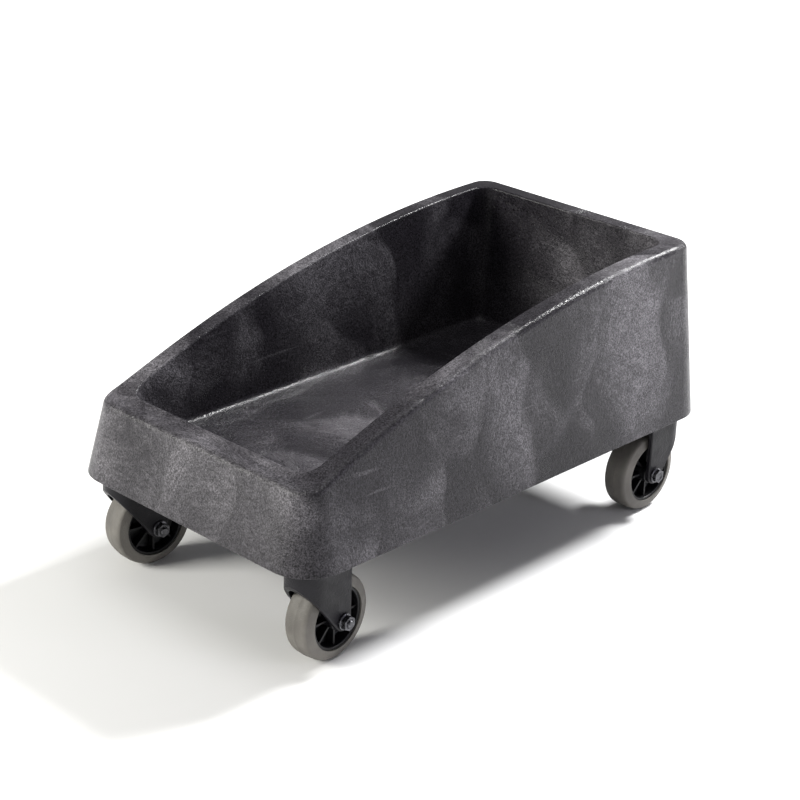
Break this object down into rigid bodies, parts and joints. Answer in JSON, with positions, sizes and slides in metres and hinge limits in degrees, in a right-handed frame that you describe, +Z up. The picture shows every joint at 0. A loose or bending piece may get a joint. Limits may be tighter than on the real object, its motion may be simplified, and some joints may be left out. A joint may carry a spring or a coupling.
{
  "type": "container dolly",
  "caption": "Trough-shaped moulded dolly with a rising curved rim, on swivel casters, that carries a slim waste container.",
  "frame": {"origin": "on the floor under the middle of the trough", "axes": "+Z up, Y along the trough with the low front end at -Y and the high rear end at +Y, X across it"},
  "size_m": [0.3338, 0.5937, 0.295],
  "materials": {
    "tub_plastic": "charcoal structural foam, satin",
    "black_plastic": "satin moulded",
    "hub_plastic": "satin moulded",
    "grey_tread": "matt non-marking",
    "zinc_steel": "zinc plated",
    "dark_steel": "dark plated",
    "ball_steel": "polished"
  },
  "bodies": {
    "root": {"tub_body": "tub_plastic", "caster_plate_front_left": "zinc_steel", "plate_screws_front_left": "dark_steel", "king_pin_front_left": "zinc_steel", "upper_balls_front_left": "ball_steel", "lower_balls_front_left": "ball_steel", "lower_race_front_left": "zinc_steel", "dust_seal_front_left": "black_plastic", "caster_plate_front_right": "zinc_steel", "plate_screws_front_right": "dark_steel", "king_pin_front_right": "zinc_steel", "upper_balls_front_right": "ball_steel", "lower_balls_front_right": "ball_steel", "lower_race_front_right": "zinc_steel", "dust_seal_front_right": "black_plastic", "caster_plate_rear_left": "zinc_steel", "plate_screws_rear_left": "dark_steel", "king_pin_rear_left": "zinc_steel", "upper_balls_rear_left": "ball_steel", "lower_balls_rear_left": "ball_steel", "lower_race_rear_left": "zinc_steel", "dust_seal_rear_left": "black_plastic", "caster_plate_rear_right": "zinc_steel", "plate_screws_rear_right": "dark_steel", "king_pin_rear_right": "zinc_steel", "upper_balls_rear_right": "ball_steel", "lower_balls_rear_right": "ball_steel", "lower_race_rear_right": "zinc_steel", "dust_seal_rear_right": "black_plastic"},
    "swivel_front_left": {"fork_front_left": "black_plastic", "axle_sleeve_front_left": "zinc_steel", "axle_bolt_front_left": "dark_steel", "axle_nut_front_left": "dark_steel"},
    "wheel_front_left": {"tyre_front_left": "grey_tread", "wheel_hub_front_left": "hub_plastic"},
    "swivel_front_right": {"fork_front_right": "black_plastic", "axle_sleeve_front_right": "zinc_steel", "axle_bolt_front_right": "dark_steel", "axle_nut_front_right": "dark_steel"},
    "wheel_front_right": {"tyre_front_right": "grey_tread", "wheel_hub_front_right": "hub_plastic"},
    "swivel_rear_left": {"fork_rear_left": "black_plastic", "axle_sleeve_rear_left": "zinc_steel", "axle_bolt_rear_left": "dark_steel", "axle_nut_rear_left": "dark_steel"},
    "wheel_rear_left": {"tyre_rear_left": "grey_tread", "wheel_hub_rear_left": "hub_plastic"},
    "swivel_rear_right": {"fork_rear_right": "black_plastic", "axle_sleeve_rear_right": "zinc_steel", "axle_bolt_rear_right": "dark_steel", "axle_nut_rear_right": "dark_steel"},
    "wheel_rear_right": {"tyre_rear_right": "grey_tread", "wheel_hub_rear_right": "hub_plastic"}
  },
  "joints": [
    {"name": "swivel_front_left", "type": "hinge", "parent": "root", "child": "swivel_front_left", "pos_m": [-0.1305, -0.258, 0.09], "axis": [0, 0, 1], "continuous": true},
    {"name": "wheel_front_left", "type": "hinge", "parent": "swivel_front_left", "child": "wheel_front_left", "pos_m": [-0.12724, -0.23321, 0.0435], "axis": [0.9914, -0.1305, 0], "continuous": true},
    {"name": "swivel_front_right", "type": "hinge", "parent": "root", "child": "swivel_front_right", "pos_m": [0.1305, -0.258, 0.09], "axis": [0, 0, 1], "continuous": true},
    {"name": "wheel_front_right", "type": "hinge", "parent": "swivel_front_right", "child": "wheel_front_right", "pos_m": [0.12897, -0.23305, 0.0435], "axis": [0.9981, 0.061, 0], "continuous": true},
    {"name": "swivel_rear_left", "type": "hinge", "parent": "root", "child": "swivel_rear_left", "pos_m": [-0.1305, 0.258, 0.09], "axis": [0, 0, 1], "continuous": true},
    {"name": "wheel_rear_left", "type": "hinge", "parent": "swivel_rear_left", "child": "wheel_rear_left", "pos_m": [-0.1305, 0.233, 0.0435], "axis": [1, 0, 0], "continuous": true},
    {"name": "swivel_rear_right", "type": "hinge", "parent": "root", "child": "swivel_rear_right", "pos_m": [0.1305, 0.258, 0.09], "axis": [0, 0, 1], "continuous": true},
    {"name": "wheel_rear_right", "type": "hinge", "parent": "swivel_rear_right", "child": "wheel_rear_right", "pos_m": [0.1305, 0.233, 0.0435], "axis": [1, 0, 0], "continuous": true}
  ]
}
